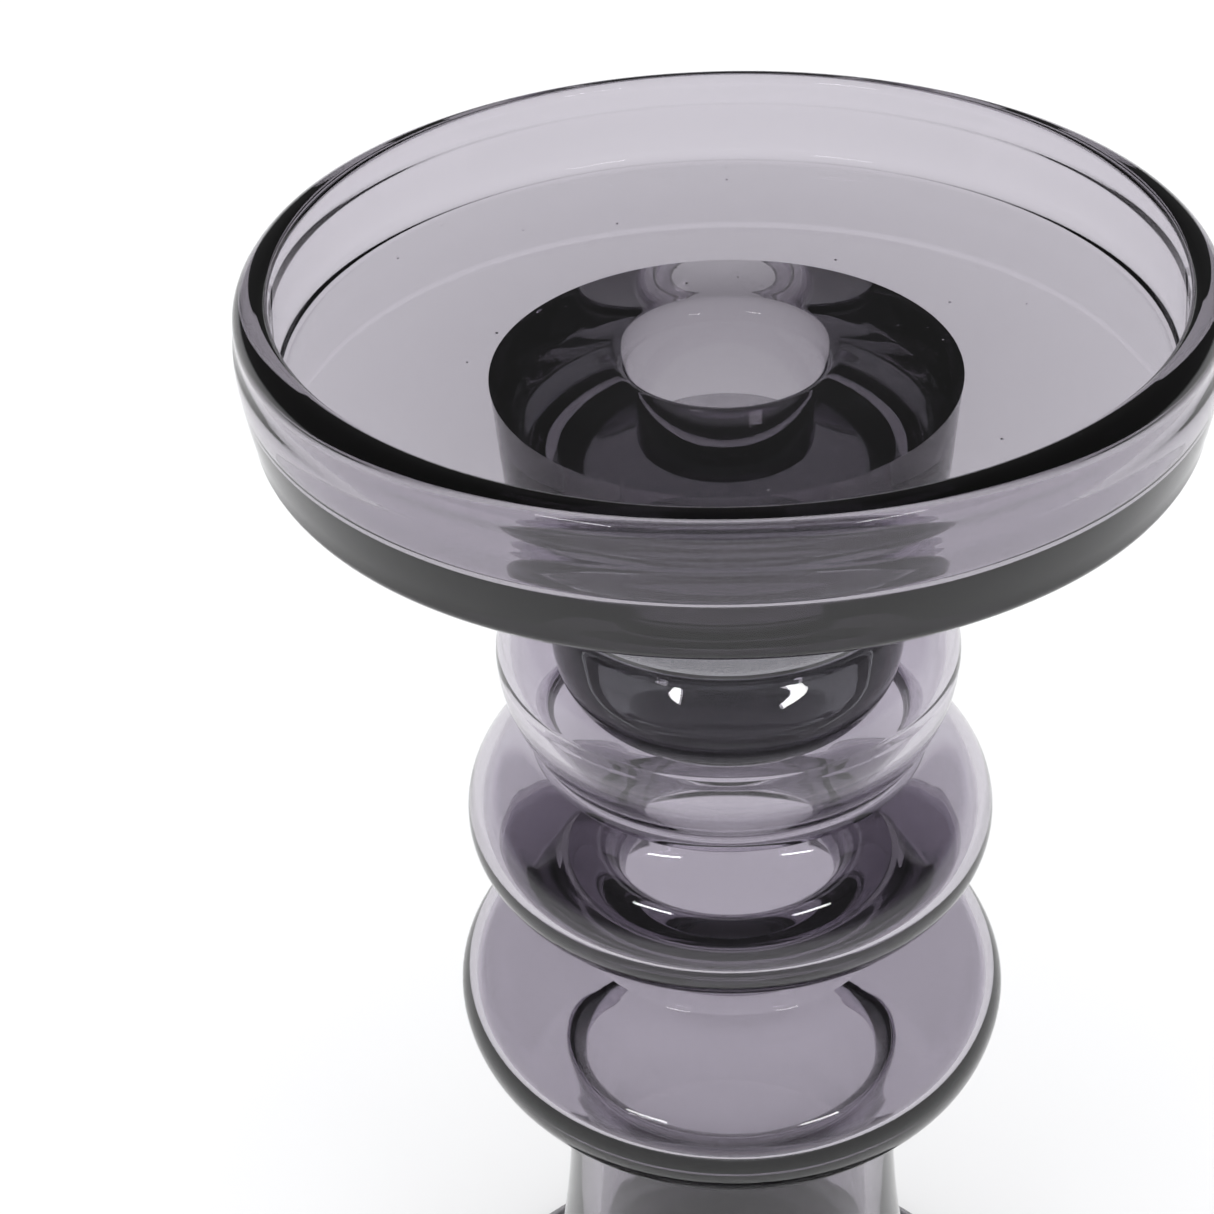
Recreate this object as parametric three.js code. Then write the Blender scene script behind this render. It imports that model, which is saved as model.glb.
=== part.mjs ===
// Glass candlestick: a round drip tray with a candle hole, carried by a tall stem of
// hollow glass swellings on a flared hollow foot.  Millimetres, +Z up, origin at the
// centre of the foot's underside.  Every section is a body of revolution.
import * as THREE from 'three';

// ---- driving dimensions ------------------------------------------------------
const TOTAL_HEIGHT = 212;
const AROUND = 44;              // facets round the axis

const TRAY_RADIUS = 55.2;       // widest, a little below the rim
const TRAY_DEPTH = 11.3;        // rim top down to the floor of the tray
const TRAY_FLOOR_THICKNESS = 7.6; // at the collar
const TRAY_EDGE_THICKNESS = 5.2;// at the wall
const RIM_WALL = 4;
const RIM_OUTER_ROUND = 2.7;
const RIM_INNER_ROUND = 1.2;
const RIM_LEAN = 0.5;           // the wall leans in towards the fire-polished rim
const TRAY_FOOT_RADIUS = 54.1;  // outside, just above the rounded lower edge
const TRAY_EDGE_ROUND = 1.6;
const FLOOR_FILLET = 1.6;

const BORE_RADIUS = 11;         // takes the end of a standard taper candle
const BORE_LIP_ROUND = 2.6;
const BORE_DIP = 0.8;           // the floor sinks a little towards the hole
const BORE_DIP_RADIUS = 24;
const BORE_DEPTH = 29;          // below the floor of the tray

const COLLAR_RADIUS = 27.2;     // pressed under the tray, tapering to the socket
const SOCKET_RADIUS = 24.7;
const NECK_RADIUS = 22.4;       // socket where it meets the knop
const PLUG_RADIUS = 19.8;       // top of the socket's rounded end, which hangs inside the knop
const PLUG_SWELL = 26;          // how far its side is pulled out
const FOOT_NECK_RADIUS = 23.3;
const PINCH_RADIUS = 22;        // between the swellings
const BLEND = 8;                // softness of the grooves between the swellings
const STEM_WALL = 2;            // of the blown sections

const FOOT_RADIUS = 50;
const FOOT_EDGE = 4.4;          // thickness of the foot's rim

// heights of the joints between the sections
const FLOOR_Z = TOTAL_HEIGHT - TRAY_DEPTH;
const TRAY_UNDERSIDE_Z = FLOOR_Z - TRAY_FLOOR_THICKNESS;
const COLLAR_BASE_Z = 183;
const SOCKET_BASE_Z = 169;
const PLUG_Z = 148.2;           // lowest point of the socket's rounded end
const KNOP_BASE_Z = 146.2;
const BUBBLE_JOINT_Z = 118.7;
const FOOT_TOP_Z = 87.5;

// A swelling of the stem: half an oval standing `core` from the axis, its widest
// circle at height z, reaching `up` above and `down` below it.
const KNOP = { core: 7.7, reach: 21.1, z: 159, up: 12.8, down: 17.8 };
const UPPER = { core: 8, reach: 26.2, z: 134, up: 14.6, down: 12.1 };
const LOWER = { core: 8, reach: 29.3, z: 103, up: 12.5, down: 15.8 };
// Thick rings inside the stem: height, extra thickness of the wall, and reach.
const FOLDS = [[121, 6, 6.5], [92, 2.6, 9]];

// ---- profile tools -----------------------------------------------------------
const point = (r, z) => new THREE.Vector2(Math.max(r, 0), z);

// Points along an arc, angles in degrees from the outward direction.
function arc(r, z, radius, from, to, steps) {
  return Array.from({ length: steps + 1 }, (_, i) => {
    const angle = THREE.MathUtils.degToRad(from + (to - from) * i / steps);
    return point(r + radius * Math.cos(angle), z + radius * Math.sin(angle));
  });
}

function swellingRadius(s, z) {
  const t = (z - s.z) / (z > s.z ? s.up : s.down);
  return Math.abs(t) < 1 ? s.core + s.reach * Math.sqrt(1 - t * t) : 0;
}

// The larger of two radii, with a soft groove where they meet.
function softMax(a, b, blend) {
  const h = Math.max(blend - Math.abs(a - b), 0) / blend;
  return Math.max(a, b) + h * h * blend / 4;
}

function stemRadius(z) {
  const core = z > KNOP.z ? NECK_RADIUS : z > LOWER.z ? PINCH_RADIUS : FOOT_NECK_RADIUS;
  return [KNOP, UPPER, LOWER].reduce((r, s) => softMax(r, swellingRadius(s, z), BLEND), core);
}

// The inner face of the blown sections, a wall's thickness inside the outer face.
const hollowFace = Array.from({ length: 4 * (SOCKET_BASE_Z - FOOT_TOP_Z + 8) }, (_, i) => {
  const z = SOCKET_BASE_Z + 4 - i / 4;
  const slope = (stemRadius(z + 0.1) - stemRadius(z - 0.1)) / 0.2;
  const folds = FOLDS.map(([height, extra, reach]) => extra * Math.exp(-(((z - height) / reach) ** 2)));
  const wall = folds.reduce((sum, fold) => sum + fold, STEM_WALL) / Math.hypot(1, slope);
  return point(stemRadius(z) - wall, z + wall * slope);
});

function hollowRadius(z) {
  const i = hollowFace.findIndex((p) => p.y <= z);
  const [above, below] = [hollowFace[i - 1], hollowFace[i]];
  return THREE.MathUtils.mapLinear(z, above.y, below.y, above.x, below.x);
}

// Outside of the collar and the socket: a taper, a straight neck, a curve into the knop.
function neckRadius(z) {
  const taper = Math.max(z - COLLAR_BASE_Z, 0) / (TRAY_UNDERSIDE_Z - COLLAR_BASE_Z);
  const straight = THREE.MathUtils.lerp(SOCKET_RADIUS, COLLAR_RADIUS, taper);
  const ease = THREE.MathUtils.smoothstep(z, SOCKET_BASE_Z, SOCKET_BASE_Z + 7);
  return THREE.MathUtils.lerp(stemRadius(z), straight, ease);
}

// Points of a radius function, evenly spaced in height.
function sweep(radiusAt, from, to, steps) {
  return Array.from({ length: steps + 1 }, (_, i) => {
    const z = from + (to - from) * i / steps;
    return point(radiusAt(z), z);
  });
}

// Turns a closed profile, given anticlockwise with +Z up, about the Z axis.
function turned(name, profile, material) {
  const geometry = new THREE.LatheGeometry(profile, AROUND);
  geometry.rotateX(Math.PI / 2);
  const mesh = new THREE.Mesh(geometry, material);
  mesh.name = name;
  return mesh;
}

const closed = (profile) => [...profile, profile[0].clone()];

function smokeGlass(color) {
  return new THREE.MeshStandardMaterial({ color, roughness: 0.03, metalness: 0 });
}

// ---- the sections --------------------------------------------------------------

// Round tray pressed in one with the collar under it: flat floor, near-upright wall
// with a fire-polished rim, slightly coned underside, a hole with a rounded lip.
function dripTray() {
  const rimOuter = TRAY_RADIUS - RIM_LEAN - RIM_OUTER_ROUND;
  const rimInner = TRAY_RADIUS - RIM_LEAN - RIM_WALL + RIM_INNER_ROUND;
  const lipZ = FLOOR_Z - BORE_DIP - BORE_LIP_ROUND;
  const wallFoot = TRAY_RADIUS - RIM_WALL - 0.4;
  const edgeZ = FLOOR_Z - TRAY_EDGE_THICKNESS;
  const widestZ = FLOOR_Z + 4;
  return turned('drip_tray', closed([
    point(BORE_RADIUS, COLLAR_BASE_Z),
    ...sweep(neckRadius, COLLAR_BASE_Z, TRAY_UNDERSIDE_Z, 2),
    point(COLLAR_RADIUS + 2, TRAY_UNDERSIDE_Z + 0.2),
    ...arc(TRAY_FOOT_RADIUS - TRAY_EDGE_ROUND, edgeZ + TRAY_EDGE_ROUND, TRAY_EDGE_ROUND, -88, 4, 4),
    point(TRAY_RADIUS, widestZ),
    point(TRAY_RADIUS, widestZ + 2.5),
    ...arc(rimOuter, TOTAL_HEIGHT - RIM_OUTER_ROUND, RIM_OUTER_ROUND, 10, 90, 4),
    ...arc(rimInner, TOTAL_HEIGHT - RIM_INNER_ROUND, RIM_INNER_ROUND, 90, 176, 4),
    ...arc(wallFoot - FLOOR_FILLET, FLOOR_Z + FLOOR_FILLET, FLOOR_FILLET, 0, -90, 4),
    point(BORE_DIP_RADIUS, FLOOR_Z),
    ...arc(BORE_RADIUS + BORE_LIP_ROUND, lipZ, BORE_LIP_ROUND, 90, 180, 4),
  ]), smokeGlass(0x8f8d94));
}

// Thick neck with the blind bore that holds a taper candle, and a rounded end that
// hangs inside the knop.
function candleSocket() {
  const boreBottom = FLOOR_Z - BORE_DEPTH;
  const end = new THREE.CubicBezierCurve(
    point(0, PLUG_Z),
    point(15, PLUG_Z),
    point(PLUG_SWELL, PLUG_Z + 5),
    point(PLUG_RADIUS, SOCKET_BASE_Z));
  return turned('candle_socket', [
    ...end.getPoints(8),
    ...sweep(neckRadius, SOCKET_BASE_Z, COLLAR_BASE_Z, 6),
    point(BORE_RADIUS, COLLAR_BASE_Z),
    ...arc(BORE_RADIUS - 2, boreBottom + 2, 2, 0, -90, 4),
    point(0, boreBottom),
  ], smokeGlass(0x4a4d4f));
}

// Small hollow knop under the socket, open above and below.
function knop() {
  return turned('knop', closed([
    ...sweep(hollowRadius, SOCKET_BASE_Z, KNOP_BASE_Z, 12),
    ...sweep(stemRadius, KNOP_BASE_Z, SOCKET_BASE_Z, 14),
  ]), smokeGlass(0x6b6e70));
}

// Blown bubble, open at both ends.
function upperBubble() {
  return turned('upper_bubble', closed([
    ...sweep(hollowRadius, KNOP_BASE_Z, BUBBLE_JOINT_Z, 14),
    ...sweep(stemRadius, BUBBLE_JOINT_Z, KNOP_BASE_Z, 14),
  ]), smokeGlass(0x85838c));
}

// Larger blown bubble, open at both ends.
function lowerBubble() {
  return turned('lower_bubble', closed([
    ...sweep(hollowRadius, BUBBLE_JOINT_Z, FOOT_TOP_Z, 14),
    ...sweep(stemRadius, FOOT_TOP_Z, BUBBLE_JOINT_Z, 16),
  ]), smokeGlass(0x85838c));
}

// Tall trumpet foot, hollow and open underneath, standing on its rim.
function foot() {
  const edge = FOOT_EDGE / 2;
  const rim = arc(FOOT_RADIUS - edge, edge, edge, -90, 60, 5);
  const outer = new THREE.CubicBezierCurve(
    rim[rim.length - 1],
    point(FOOT_RADIUS - 18, FOOT_EDGE + 6),
    point(FOOT_NECK_RADIUS, FOOT_TOP_Z - 48),
    point(stemRadius(FOOT_TOP_Z), FOOT_TOP_Z));
  const inner = new THREE.CubicBezierCurve(
    point(hollowRadius(FOOT_TOP_Z), FOOT_TOP_Z),
    point(hollowRadius(FOOT_TOP_Z), FOOT_TOP_Z - 50),
    point(FOOT_RADIUS - 24, FOOT_EDGE + 3),
    point(FOOT_RADIUS - 8, 0));
  return turned('foot', closed([
    ...inner.getPoints(12),
    ...rim,
    ...outer.getPoints(14).slice(1),
  ]), smokeGlass(0x85838c));
}

const group = new THREE.Group();
group.add(dripTray(), candleSocket(), knop(), upperBubble(), lowerBubble(), foot());

export default group;
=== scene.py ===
"""Glass candlestick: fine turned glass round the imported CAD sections, a pale floor,
soft studio light and a three-quarter view from above."""
import math
import random

import bpy
from mathutils import Matrix, Vector, noise


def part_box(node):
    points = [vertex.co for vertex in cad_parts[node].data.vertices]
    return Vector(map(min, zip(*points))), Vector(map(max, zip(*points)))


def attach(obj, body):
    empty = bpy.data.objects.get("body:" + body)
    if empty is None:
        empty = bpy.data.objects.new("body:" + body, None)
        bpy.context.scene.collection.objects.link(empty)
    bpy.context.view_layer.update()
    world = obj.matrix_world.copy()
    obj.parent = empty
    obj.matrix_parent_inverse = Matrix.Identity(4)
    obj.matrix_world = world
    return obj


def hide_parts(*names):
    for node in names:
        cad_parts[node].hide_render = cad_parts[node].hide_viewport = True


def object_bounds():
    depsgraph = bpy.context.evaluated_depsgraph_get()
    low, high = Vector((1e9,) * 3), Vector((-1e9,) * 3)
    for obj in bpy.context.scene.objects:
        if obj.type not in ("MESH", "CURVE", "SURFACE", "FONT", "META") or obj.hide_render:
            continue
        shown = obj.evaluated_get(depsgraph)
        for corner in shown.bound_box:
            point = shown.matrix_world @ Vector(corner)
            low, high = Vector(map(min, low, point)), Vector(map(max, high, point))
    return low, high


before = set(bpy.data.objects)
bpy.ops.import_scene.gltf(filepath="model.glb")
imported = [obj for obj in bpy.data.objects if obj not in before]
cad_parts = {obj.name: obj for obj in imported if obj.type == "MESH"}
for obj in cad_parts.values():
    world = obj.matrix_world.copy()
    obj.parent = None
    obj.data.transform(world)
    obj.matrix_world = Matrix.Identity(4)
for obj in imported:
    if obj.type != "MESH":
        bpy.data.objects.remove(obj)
cad_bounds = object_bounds()

MM = 0.001

# ---- dimensions in millimetres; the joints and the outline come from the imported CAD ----
TOTAL_HEIGHT = round(cad_bounds[1][2] / MM)
AROUND = 256                     # mesh columns round the axis

INSET = 0.05                     # keeps the waviness inside the CAD outline
TRAY_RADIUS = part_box("drip_tray")[1][0] / MM - INSET
TRAY_DEPTH = 11.3
TRAY_FLOOR_THICKNESS = 7.6
TRAY_EDGE_THICKNESS = 5.2
RIM_WALL = 4.0
WALL_LEAN = 0.4                  # the inner wall leans out from its foot
WIDEST_OVER_FLOOR = 4.0          # height at which the wall is widest
RIM_OUTER_ROUND = 2.5
BEAD_ANGLE = 6                   # degrees that the rim's rounding runs back under
RIM_INNER_ROUND = 1.2
RIM_LEAN = 0.5
TRAY_FOOT_RADIUS = 54.1
TRAY_EDGE_ROUND = 1.6
FLOOR_FILLET = 1.6

BORE_RADIUS = 11.0
BORE_DIP = 0.8
BORE_DIP_RADIUS = 24.0
BORE_LIP_ROUND = 2.6
BORE_DEPTH = 29.0

COLLAR_RADIUS = 27.2             # under the tray, tapering to the socket
SOCKET_RADIUS = 24.7
NECK_EASE = 7.0                  # height over which the neck curves into the knop
NECK_RADIUS = 22.4
FOOT_NECK_RADIUS = 23.3
PINCH_RADIUS = 22.0
BLEND = 8.0                      # softness of the grooves between the swellings

FOOT_RADIUS = 50.0
FOOT_EDGE = 4.4
# Fused sections overlap by a hair, so that light runs on through the joint.
JOINT_OVERLAP = 0.03

FLOOR_Z = TOTAL_HEIGHT - TRAY_DEPTH
TRAY_UNDERSIDE_Z = FLOOR_Z - TRAY_FLOOR_THICKNESS
COLLAR_BASE_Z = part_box("drip_tray")[0][2] / MM
SOCKET_BASE_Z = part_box("knop")[1][2] / MM
KNOP_BASE_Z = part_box("knop")[0][2] / MM
BUBBLE_JOINT_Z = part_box("upper_bubble")[0][2] / MM
FOOT_TOP_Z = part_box("foot")[1][2] / MM

# A swelling: its core radius, reach, widest height, and how far it goes up and down.
KNOP = (7.7, 21.1, 159.0, 12.8, 17.8)
UPPER = (8.0, 26.2, 134.0, 14.6, 12.1)
LOWER = (8.0, 29.3, 103.0, 12.5, 15.8)
STEM_WALL = 2.0
# Thick rings inside the stem: height, extra thickness of the wall, and reach.
FOLDS = ((121.0, 6.0, 6.5), (92.0, 2.6, 9.0))
PLUG_Z = 148.2                   # lowest point of the socket's end, inside the knop
PLUG_SWELL = 26.0                # how far its side is pulled out
PLUG_RADIUS = 19.8               # at its top


# ---- profiles ---------------------------------------------------------------------
def arc(r, z, radius, start, end, steps):
    """Points on an arc, with angles in degrees from the outward direction."""
    points = []
    for i in range(steps + 1):
        angle = math.radians(start + (end - start) * i / steps)
        points.append((r + radius * math.cos(angle), z + radius * math.sin(angle)))
    return points


def line(a, b, steps):
    return [(a[0] + (b[0] - a[0]) * i / steps, a[1] + (b[1] - a[1]) * i / steps)
            for i in range(steps + 1)]


def swelling_radius(swelling, z):
    core, reach, middle, up, down = swelling
    t = (z - middle) / (up if z > middle else down)
    return core + reach * math.sqrt(1 - t * t) if abs(t) < 1 else 0.0


def soft_max(a, b):
    """The larger of two radii, with a soft groove where they meet."""
    h = max(BLEND - abs(a - b), 0.0) / BLEND
    return max(a, b) + h * h * BLEND / 4


def stem_radius(z):
    if z > KNOP[2]:
        radius = NECK_RADIUS
    else:
        radius = PINCH_RADIUS if z > LOWER[2] else FOOT_NECK_RADIUS
    for swelling in (KNOP, UPPER, LOWER):
        radius = soft_max(radius, swelling_radius(swelling, z))
    return radius


HOLLOW_STEP = 0.25               # mm between points of the inner face
HOLLOW_MARGIN = 4                # mm that it is worked out past the joints
EDGE_MARGIN = 0.02               # mm kept clear of the end points


def hollow_line(top, bottom):
    """The inner face of the blown stem between two heights: a wall's thickness inside the
    outer face, and further in at the folds."""
    count = int((SOCKET_BASE_Z - FOOT_TOP_Z + 2 * HOLLOW_MARGIN) / HOLLOW_STEP)
    heights = [SOCKET_BASE_Z + HOLLOW_MARGIN - HOLLOW_STEP * i for i in range(count)]
    outer = [(stem_radius(z), z) for z in heights]
    inner = []
    for before, here, after in zip(outer, outer[1:], outer[2:]):
        dr, dz = after[0] - before[0], after[1] - before[1]
        size = math.hypot(dr, dz)
        wall = STEM_WALL + sum(extra * math.exp(-((here[1] - height) / reach) ** 2)
                               for height, extra, reach in FOLDS)
        inner.append((here[0] + wall * dz / size, here[1] - wall * dr / size))
    points = []
    for a, b in zip(inner, inner[1:]):
        for edge in (top, bottom):
            if a[1] > edge > b[1]:
                t = (a[1] - edge) / (a[1] - b[1])
                points.append((a[0] + (b[0] - a[0]) * t, edge))
        if bottom + EDGE_MARGIN < b[1] < top - EDGE_MARGIN:
            points.append(b)
    return points


def sweep(radius_at, start, end, steps):
    """Points of a radius function, evenly spaced in height."""
    return [(radius_at(start + (end - start) * i / steps), start + (end - start) * i / steps)
            for i in range(steps + 1)]


def bezier(a, b, c, d, steps):
    points = []
    for i in range(steps + 1):
        t = i / steps
        s = 1 - t
        weights = (s ** 3, 3 * s * s * t, 3 * s * t * t, t ** 3)
        points.append(tuple(sum(w * p[k] for w, p in zip(weights, (a, b, c, d)))
                            for k in (0, 1)))
    return points


# ---- meshes -----------------------------------------------------------------------
WAVE_HEIGHT = 0.10               # mm, the slight unevenness of worked glass
TRAY_WAVE_HEIGHT = 0.05          # mm, the pressed tray is more even
WAVE_LENGTH = 16.0               # mm
WAVE_CORE = 12                   # mm, the waviness fades out inside this radius
CREASE_ANGLE = math.radians(32)
SEED_RINGS, SEED_COLUMNS = 5, 8


def waviness(x, y, z, seed):
    p = Vector((x, y, z)) / WAVE_LENGTH
    return noise.noise(p + Vector((seed, 0, seed * 2.3)))


def add_seed(verts, faces, centre, radius):
    """A seed is a tiny air bubble shut in the glass: a small ball whose faces look
    inwards."""
    first, rings, columns = len(verts), SEED_RINGS, SEED_COLUMNS
    verts.append((centre - Vector((0, 0, radius))) * MM)
    for j in range(1, rings):
        a = math.pi * j / rings
        for i in range(columns):
            b = 2 * math.pi * i / columns
            outward = Vector((math.sin(a) * math.cos(b), math.sin(a) * math.sin(b), -math.cos(a)))
            verts.append((centre + radius * outward) * MM)
    verts.append((centre + Vector((0, 0, radius))) * MM)
    last = len(verts) - 1
    for i in range(columns):
        n = (i + 1) % columns
        faces.append((first, first + 1 + i, first + 1 + n))
        faces.append((last, last - columns + n, last - columns + i))
        for j in range(rings - 2):
            low = first + 1 + j * columns
            faces.append((low + n, low + i, low + columns + i, low + columns + n))


def turned(name, profile, seed, wave=WAVE_HEIGHT, seeds=()):
    """A closed body of revolution from a profile that runs anticlockwise (+Z up).
    A profile that starts and ends on the axis is closed there by fans."""
    on_axis = profile[0][0] < 1e-6
    rows = profile[1:-1] if on_axis else profile
    verts, faces = [], []
    for r, z in rows:
        for i in range(AROUND):
            a = 2 * math.pi * i / AROUND
            x, y = r * math.cos(a), r * math.sin(a)
            k = (r + wave * waviness(x, y, z, seed) * min(r / WAVE_CORE, 1)) / r
            verts.append((x * k * MM, y * k * MM, z * MM))
    count = len(rows)
    for j in range(count - (1 if on_axis else 0)):
        low, high = j * AROUND, ((j + 1) % count) * AROUND
        for i in range(AROUND):
            n = (i + 1) % AROUND
            faces.append((low + i, low + n, high + n, high + i))
    if on_axis:
        for centre, row, flip in ((profile[0], 0, True), (profile[-1], count - 1, False)):
            apex = len(verts)
            verts.append((0.0, 0.0, centre[1] * MM))
            for i in range(AROUND):
                a, b = row * AROUND + i, row * AROUND + (i + 1) % AROUND
                faces.append((b, a, apex) if flip else (a, b, apex))
    for centre, radius in seeds:
        add_seed(verts, faces, Vector(centre), radius)
    mesh = bpy.data.meshes.new(name)
    mesh.from_pydata(verts, [], faces)
    mesh.validate()
    mesh.shade_smooth()
    mesh.set_sharp_from_angle(angle=CREASE_ANGLE)
    piece = bpy.data.objects.new(name, mesh)
    bpy.context.scene.collection.objects.link(piece)
    return piece


def neck_radius(z):
    """Outside of the collar and the socket: a taper, a straight neck, a curve into the knop."""
    flare = max(z - COLLAR_BASE_Z, 0) / (TRAY_UNDERSIDE_Z - COLLAR_BASE_Z)
    top = SOCKET_RADIUS + (COLLAR_RADIUS - SOCKET_RADIUS) * flare
    t = min(max(z - SOCKET_BASE_Z, 0) / NECK_EASE, 1)
    return stem_radius(z) + (top - stem_radius(z)) * t * t * (3 - 2 * t)


SEED_COUNT = 34


def tray_seeds():
    """Centre and radius of the fine seeds in the tray's floor."""
    chance = random.Random(4)
    seeds = []
    for _ in range(SEED_COUNT):
        angle, r = chance.uniform(0, 2 * math.pi), chance.uniform(15, 50)
        size = chance.uniform(0.08, 0.2)
        z = FLOOR_Z - chance.uniform(1.6, 4.2)
        seeds.append(((r * math.cos(angle), r * math.sin(angle), z), size))
    return seeds


def drip_tray():
    """The tray and the tapering collar under it, pressed as one."""
    wall_foot = TRAY_RADIUS - RIM_WALL - WALL_LEAN
    edge_z = FLOOR_Z - TRAY_EDGE_THICKNESS
    widest_z = FLOOR_Z + WIDEST_OVER_FLOOR
    edge = arc(TRAY_FOOT_RADIUS - TRAY_EDGE_ROUND, edge_z + TRAY_EDGE_ROUND,
               TRAY_EDGE_ROUND, -88, 4, 14)
    rim = arc(TRAY_RADIUS - RIM_LEAN - RIM_OUTER_ROUND, TOTAL_HEIGHT - RIM_OUTER_ROUND,
              RIM_OUTER_ROUND, -BEAD_ANGLE, 89, 18)
    bead = math.radians(BEAD_ANGLE)
    under_bead = (rim[0][0] - math.sin(bead), rim[0][1] - math.cos(bead))
    rim += arc(TRAY_RADIUS - RIM_LEAN - RIM_WALL + RIM_INNER_ROUND,
               TOTAL_HEIGHT - RIM_INNER_ROUND, RIM_INNER_ROUND, 91, 176, 12)
    corner = arc(wall_foot - FLOOR_FILLET, FLOOR_Z + FLOOR_FILLET, FLOOR_FILLET, 0, -90, 10)
    lip = arc(BORE_RADIUS + BORE_LIP_ROUND, FLOOR_Z - BORE_DIP - BORE_LIP_ROUND,
              BORE_LIP_ROUND, 94, 180, 14)
    profile = line((BORE_RADIUS, COLLAR_BASE_Z), (SOCKET_RADIUS, COLLAR_BASE_Z), 6)[:-1]
    profile += sweep(neck_radius, COLLAR_BASE_Z, TRAY_UNDERSIDE_Z, 20)
    profile += line(profile[-1], edge[0], 8)[1:-1] + edge
    profile += bezier(edge[-1], (TRAY_RADIUS + 0.1, widest_z - 1),
                      (TRAY_RADIUS + 0.1, widest_z + 2),
                      (TRAY_RADIUS - 0.3, widest_z + 2.6), 12)[1:]
    profile += bezier(profile[-1], (TRAY_RADIUS - 0.4, widest_z + 3), under_bead, rim[0], 8)[1:-1]
    profile += rim
    profile += line(rim[-1], corner[0], 8)[1:-1] + corner
    profile += line(corner[-1], (BORE_DIP_RADIUS + 2, FLOOR_Z), 8)[1:-1]
    profile += bezier((BORE_DIP_RADIUS + 2, FLOOR_Z), (BORE_DIP_RADIUS - 3, FLOOR_Z),
                      (BORE_RADIUS + 5, FLOOR_Z - BORE_DIP + 0.2), lip[0], 10)[:-1] + lip
    profile += line(lip[-1], (BORE_RADIUS, COLLAR_BASE_Z), 4)[1:-1]
    return turned("drip_tray_glass", profile, seed=1.7, wave=TRAY_WAVE_HEIGHT,
                  seeds=tray_seeds())


def candle_socket():
    """The neck with the blind bore, and its rounded end that hangs inside the knop."""
    top = COLLAR_BASE_Z + JOINT_OVERLAP
    bottom = FLOOR_Z - BORE_DEPTH
    profile = bezier((0, PLUG_Z), (15, PLUG_Z), (PLUG_SWELL, PLUG_Z + 5),
                     (PLUG_RADIUS, SOCKET_BASE_Z), 26)
    profile += sweep(neck_radius, SOCKET_BASE_Z, top, 30)
    profile += line((SOCKET_RADIUS, top), (BORE_RADIUS, top), 6)[1:]
    profile += arc(BORE_RADIUS - 2, bottom + 2, 2, 0, -90, 8) + [(0, bottom)]
    return turned("candle_socket_glass", profile, seed=3.1)


def knop():
    top = SOCKET_BASE_Z + JOINT_OVERLAP
    profile = hollow_line(top, KNOP_BASE_Z) + sweep(stem_radius, KNOP_BASE_Z, top, 80)
    return turned("knop_glass", profile, seed=5.2)


def upper_bubble():
    top = KNOP_BASE_Z + JOINT_OVERLAP
    profile = hollow_line(top, BUBBLE_JOINT_Z)
    profile += sweep(stem_radius, BUBBLE_JOINT_Z, top, 70)
    return turned("upper_bubble_glass", profile, seed=6.6)


def lower_bubble():
    top = BUBBLE_JOINT_Z + JOINT_OVERLAP
    profile = hollow_line(top, FOOT_TOP_Z) + sweep(stem_radius, FOOT_TOP_Z, top, 80)
    return turned("lower_bubble_glass", profile, seed=7.2)


def foot():
    """Tall trumpet foot, hollow and open underneath, standing on its rim."""
    edge = FOOT_EDGE / 2
    top = FOOT_TOP_Z + JOINT_OVERLAP
    rim = arc(FOOT_RADIUS - edge, edge, edge, -90, 60, 12)
    outer = bezier(rim[-1], (FOOT_RADIUS - 18, FOOT_EDGE + 6),
                   (FOOT_NECK_RADIUS, top - 48), (stem_radius(top), top), 48)
    passage = hollow_line(top + 1, FOOT_TOP_Z)[-1][0]
    inner = bezier((passage, top), (passage, top - 50),
                   (FOOT_RADIUS - 24, FOOT_EDGE + 3), (FOOT_RADIUS - 8, 0), 44)
    return turned("foot_glass", inner + rim + outer[1:], seed=8.8)


# ---- materials ----------------------------------------------------------------------
GLASS_IOR = 1.51


def smoke_glass(name, tint, absorb, density):
    material = bpy.data.materials.new(name)
    material.use_nodes = True
    nodes, links = material.node_tree.nodes, material.node_tree.links
    shader = nodes["Principled BSDF"]
    shader.inputs["Base Color"].default_value = (*tint, 1)
    shader.inputs["Roughness"].default_value = 0.0
    shader.inputs["IOR"].default_value = GLASS_IOR
    shader.inputs["Transmission Weight"].default_value = 1.0
    volume = nodes.new("ShaderNodeVolumeAbsorption")
    volume.inputs["Color"].default_value = (*absorb, 1)
    volume.inputs["Density"].default_value = density
    links.new(volume.outputs[0], nodes["Material Output"].inputs["Volume"])
    return material


# ---- the object ---------------------------------------------------------------------
# The tint is taken at each surface; the absorption darkens long paths through the glass.
CLEAR = smoke_glass("smoke_glass", (0.785, 0.757, 0.812), (0.460, 0.442, 0.470), 108.0)
DEEP = smoke_glass("smoke_glass_deep", (0.80, 0.79, 0.81), (0.44, 0.47, 0.45), 30.0)

PIECES = (
    (drip_tray(), "drip_tray", CLEAR),
    (candle_socket(), "candle_socket", DEEP),
    (knop(), "knop", CLEAR),
    (upper_bubble(), "upper_bubble", CLEAR),
    (lower_bubble(), "lower_bubble", CLEAR),
    (foot(), "foot", CLEAR),
)
for piece, node, glass in PIECES:
    piece.data.materials.append(glass)
    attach(piece, "root")
    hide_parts(node)


# ---- stage ----------------------------------------------------------------------------
def plain_material(name, colour, roughness):
    material = bpy.data.materials.new(name)
    material.use_nodes = True
    shader = material.node_tree.nodes["Principled BSDF"]
    shader.inputs["Base Color"].default_value = (*colour, 1)
    shader.inputs["Roughness"].default_value = roughness
    shader.inputs["Specular IOR Level"].default_value = 0.2
    return material


FLOOR_REACH = 3.0                # metres from the candlestick


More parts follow.
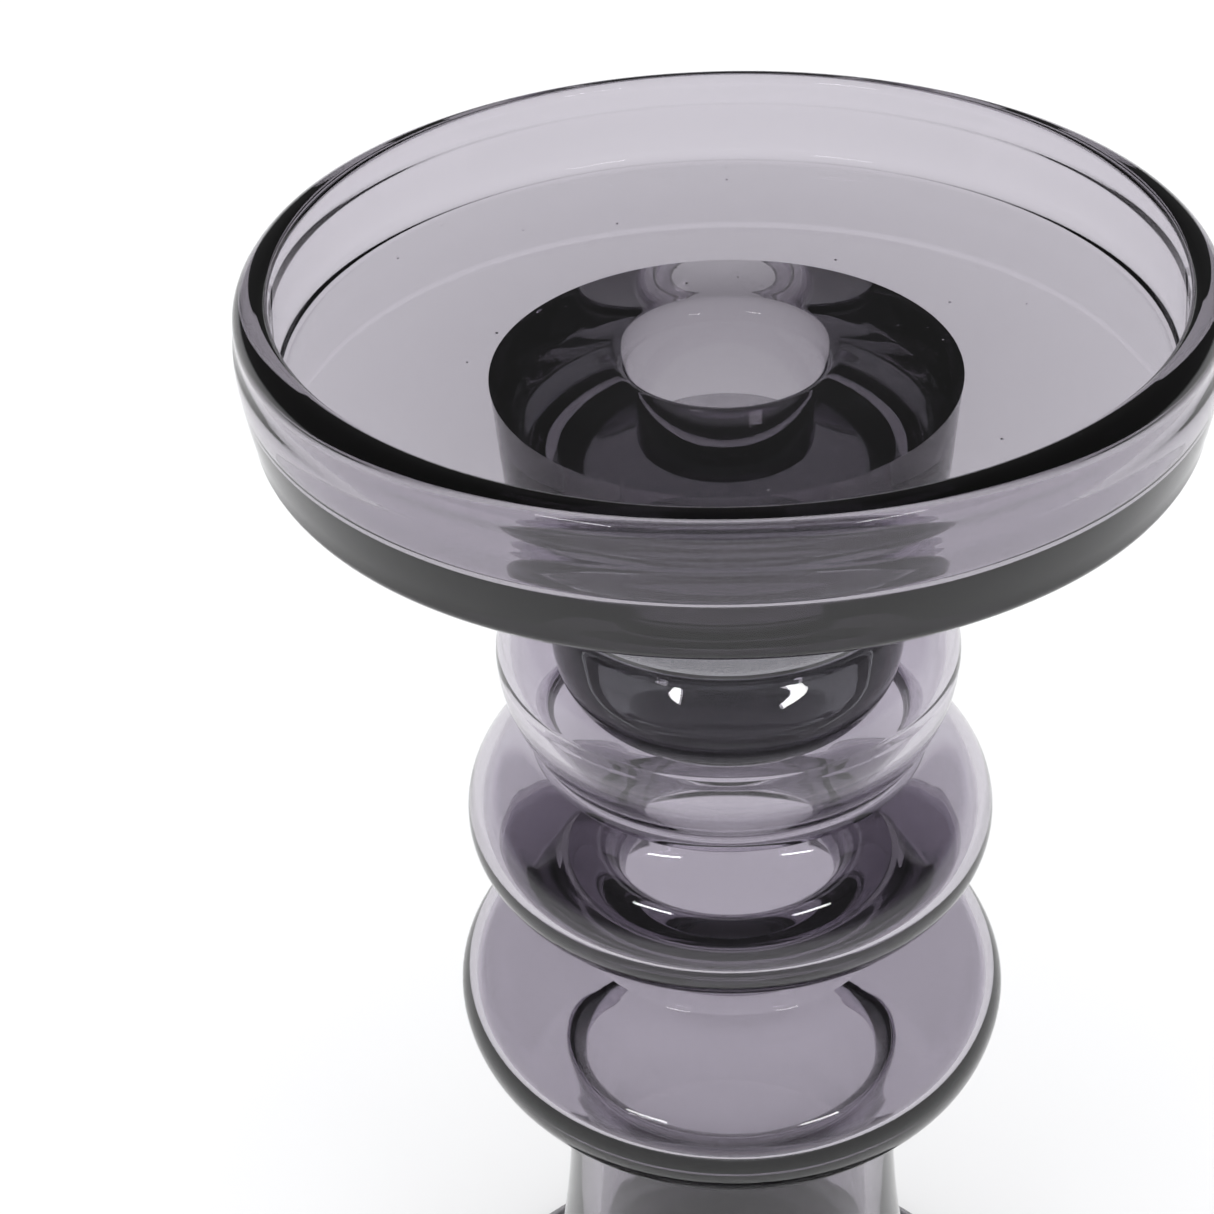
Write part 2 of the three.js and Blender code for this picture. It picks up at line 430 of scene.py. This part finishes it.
def floor():
    size = FLOOR_REACH
    mesh = bpy.data.meshes.new("floor")
    mesh.from_pydata([(-size, -size, 0), (size, -size, 0), (size, size, 0), (-size, size, 0)],
                     [], [(0, 1, 2, 3)])
    piece = bpy.data.objects.new("floor", mesh)
    bpy.context.scene.collection.objects.link(piece)
    mesh.materials.append(plain_material("floor_paper", (0.86, 0.86, 0.87), 0.7))


CENTRE = (0, 0, 0.1)             # metres, what the lights point at
SOFTBOX_WIDTH = 0.30             # metres
SOFTBOX_HEIGHT = 0.035
SOFTBOX_POWER = 0.6              # watts


def softbox(name, place):
    """A narrow strip light, far off and weak, for the small highlights."""
    light = bpy.data.lights.new(name, "AREA")
    light.shape = "RECTANGLE"
    light.size = SOFTBOX_WIDTH
    light.size_y = SOFTBOX_HEIGHT
    light.energy = SOFTBOX_POWER
    lamp = bpy.data.objects.new(name, light)
    lamp.location = place
    lamp.rotation_euler = (Vector(CENTRE) - Vector(place)).to_track_quat("-Z", "Y").to_euler()
    bpy.context.scene.collection.objects.link(lamp)


floor()
softbox("softbox_left", (-0.55, -0.75, 0.95))
softbox("softbox_right", (0.62, -0.8, 0.95))

PALE_BELOW = 0.02                # sine of the elevation up to which the glass sees pale
DARK_ABOVE = 0.16                # and from which it sees dark
PALE_TONE = (1.0, 1.0, 1.03, 1)
DARK_TONE = (0.11, 0.11, 0.112, 1)
WHITE_DOME = (1.27, 1.27, 1.27, 1)


def studio_world():
    """What the glass mirrors: pale low all round the object, dark above.
    The floor is lit evenly by a plain white dome, which is also the backdrop."""
    world = bpy.data.worlds.new("studio")
    world.use_nodes = True
    nodes, links = world.node_tree.nodes, world.node_tree.links
    nodes.clear()
    place = nodes.new("ShaderNodeTexCoord")
    split = nodes.new("ShaderNodeSeparateXYZ")
    links.new(place.outputs["Generated"], split.inputs[0])

    low = nodes.new("ShaderNodeMapRange")
    low.interpolation_type = "SMOOTHSTEP"
    low.inputs["From Min"].default_value = DARK_ABOVE
    low.inputs["From Max"].default_value = PALE_BELOW
    links.new(split.outputs["Z"], low.inputs["Value"])
    tone = nodes.new("ShaderNodeMixRGB")
    tone.inputs["Color1"].default_value = DARK_TONE
    tone.inputs["Color2"].default_value = PALE_TONE
    links.new(low.outputs[0], tone.inputs["Fac"])
    path = nodes.new("ShaderNodeLightPath")
    either = nodes.new("ShaderNodeMath")
    either.operation = "MAXIMUM"
    links.new(path.outputs["Is Diffuse Ray"], either.inputs[0])
    links.new(path.outputs["Is Camera Ray"], either.inputs[1])
    mix = nodes.new("ShaderNodeMixRGB")
    mix.inputs["Color2"].default_value = WHITE_DOME
    background = nodes.new("ShaderNodeBackground")
    out = nodes.new("ShaderNodeOutputWorld")
    links.new(tone.outputs[0], mix.inputs["Color1"])
    links.new(either.outputs[0], mix.inputs["Fac"])
    links.new(mix.outputs[0], background.inputs["Color"])
    links.new(background.outputs[0], out.inputs[0])
    bpy.context.scene.world = world


studio_world()

# ---- camera ---------------------------------------------------------------------------
CAMERA_BACK = 224.1              # mm from the axis
CAMERA_OVER_RIM = 112.0          # mm above the rim
PITCH = math.radians(35.47)
YAW = math.radians(-3.79)
ROLL = math.radians(-2.68)
FOCAL_IN_FRAMES = 1.834          # focal length over the frame's width
SENSOR_WIDTH = 36                # mm

forward = Vector((math.sin(YAW) * math.cos(PITCH), math.cos(YAW) * math.cos(PITCH),
                  -math.sin(PITCH)))
level = Vector((math.cos(YAW), -math.sin(YAW), 0))
upright = level.cross(forward)
right = math.cos(ROLL) * level + math.sin(ROLL) * upright
up = math.cos(ROLL) * upright - math.sin(ROLL) * level

camera_data = bpy.data.cameras.new("camera")
camera_data.sensor_width = SENSOR_WIDTH
camera_data.lens = SENSOR_WIDTH * FOCAL_IN_FRAMES
camera_data.clip_start = 0.01
camera = bpy.data.objects.new("camera", camera_data)
axes = Matrix((right, up, -forward)).transposed().to_4x4()
place = (0, -CAMERA_BACK * MM, (TOTAL_HEIGHT + CAMERA_OVER_RIM) * MM)
camera.matrix_world = Matrix.Translation(place) @ axes
bpy.context.scene.collection.objects.link(camera)
bpy.context.scene.camera = camera

scene = bpy.context.scene
scene.cycles.max_bounces = 40
scene.cycles.transmission_bounces = 40
scene.cycles.glossy_bounces = 24
scene.view_settings.view_transform = "Standard"
